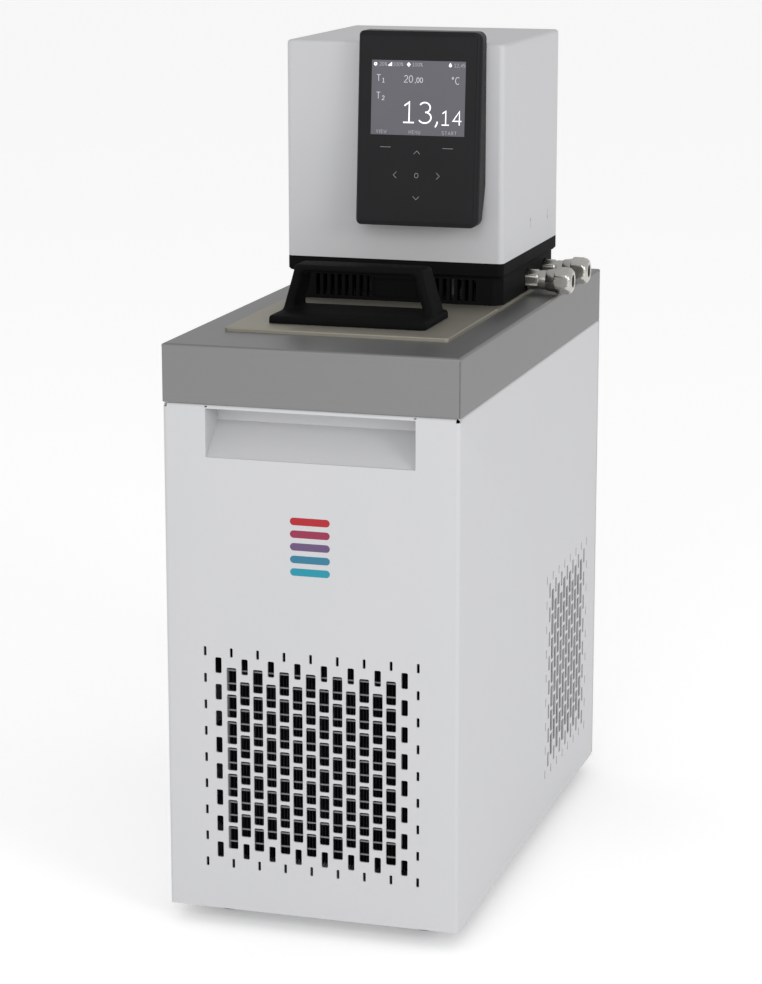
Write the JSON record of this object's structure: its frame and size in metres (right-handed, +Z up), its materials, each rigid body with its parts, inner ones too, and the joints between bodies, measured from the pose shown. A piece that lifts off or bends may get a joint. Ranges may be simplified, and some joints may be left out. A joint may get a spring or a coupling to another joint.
{
  "type": "refrigerated circulating bath",
  "caption": "Benchtop cryostat: slotted white casing, stainless bath rim with a lid, and a tall circulator head with a tilted display and side pipe connectors.",
  "frame": {"origin": "on the bench, under the middle of the whole outline", "axes": "+Z up, +X to the user's right, +Y to the back of the machine"},
  "size_m": [0.2094, 0.422, 0.583],
  "materials": {
    "casing_white": "satin powder coat",
    "stainless": "fine brushed",
    "stainless_plate": "ground",
    "galvanised": "plain zinc",
    "black_plastic": "fine grained",
    "white_plastic": "satin",
    "display_black": "satin",
    "foil_black": "semi gloss",
    "screen": "anti glare",
    "nickel": "satin nickel",
    "rubber_black": "matt",
    "foam": "cellular",
    "copper": "drawn tube",
    "fin_aluminium": "mill finish",
    "compressor_black": "stoved enamel",
    "motor_grey": "satin",
    "pump_plastic": "plain",
    "board_green": "solder mask",
    "knob_grey": "plain",
    "zinc_screw": "zinc"
  },
  "bodies": {
    "machine": {"casing_wrap": "casing_white", "rear_panel": "casing_white", "base_tray": "galvanised", "foot_front_left": "rubber_black", "foot_front_right": "rubber_black", "foot_rear_left": "rubber_black", "foot_rear_right": "rubber_black", "foot_screws": "zinc_screw", "grip_recess": "casing_white", "bath_rim": "stainless", "bath_tank": "stainless", "tank_insulation": "foam", "bath_lid": "stainless_plate", "lid_handle": "black_plastic", "lid_screws": "zinc_screw", "bridge_plate": "stainless_plate", "pedestal": "black_plastic", "head_cover": "white_plastic", "head_rear_panel": "black_plastic", "display_housing": "display_black", "display_foil": "foil_black", "display_screen": "screen", "control_board": "board_green", "motor_bracket": "galvanised", "circulation_motor": "motor_grey", "pump_housing": "pump_plastic", "pump_rods": "stainless", "heater_coil": "stainless", "cooling_coil": "stainless", "temperature_probe": "stainless", "level_probe": "stainless", "supply_connector": "nickel", "return_connector": "nickel", "supply_union_nut": "nickel", "return_union_nut": "nickel", "supply_pipe": "stainless", "return_pipe": "stainless", "compressor": "compressor_black", "compressor_mounts": "rubber_black", "compressor_relay_cover": "black_plastic", "condenser_fins": "fin_aluminium", "condenser_end_plates": "galvanised", "condenser_bends": "copper", "fan_shroud": "black_plastic", "fan_motor": "motor_grey", "filter_drier": "copper", "discharge_line": "copper", "liquid_line": "copper", "expansion_line": "copper", "suction_line": "copper", "drain_line": "stainless", "drain_valve": "nickel", "mains_inlet": "black_plastic", "rocker_frame": "black_plastic", "panel_screws": "zinc_screw"},
    "fan": {"fan_rotor": "fin_aluminium"},
    "pump": {"pump_shaft": "stainless", "pump_impeller": "pump_plastic"},
    "rocker": {"rocker_switch": "black_plastic"},
    "knob": {"drain_knob": "knob_grey"}
  },
  "joints": [
    {"name": "fan_spin", "type": "hinge", "parent": "machine", "child": "fan", "pos_m": [-0.00475, -0.136, 0.117], "axis": [0, 1, 0], "continuous": true},
    {"name": "pump_spin", "type": "hinge", "parent": "machine", "child": "pump", "pos_m": [-0.00475, 0.058, 0.2735], "axis": [0, 0, 1], "continuous": true},
    {"name": "mains_rocker", "type": "hinge", "parent": "machine", "child": "rocker", "pos_m": [0.03125, 0.139, 0.4511], "axis": [1, 0, 0], "range_deg": [-20, 0]},
    {"name": "drain_turn", "type": "hinge", "parent": "machine", "child": "knob", "pos_m": [0.06925, 0.194, 0.045], "axis": [0, 1, 0], "range_deg": [0, 90]}
  ]
}
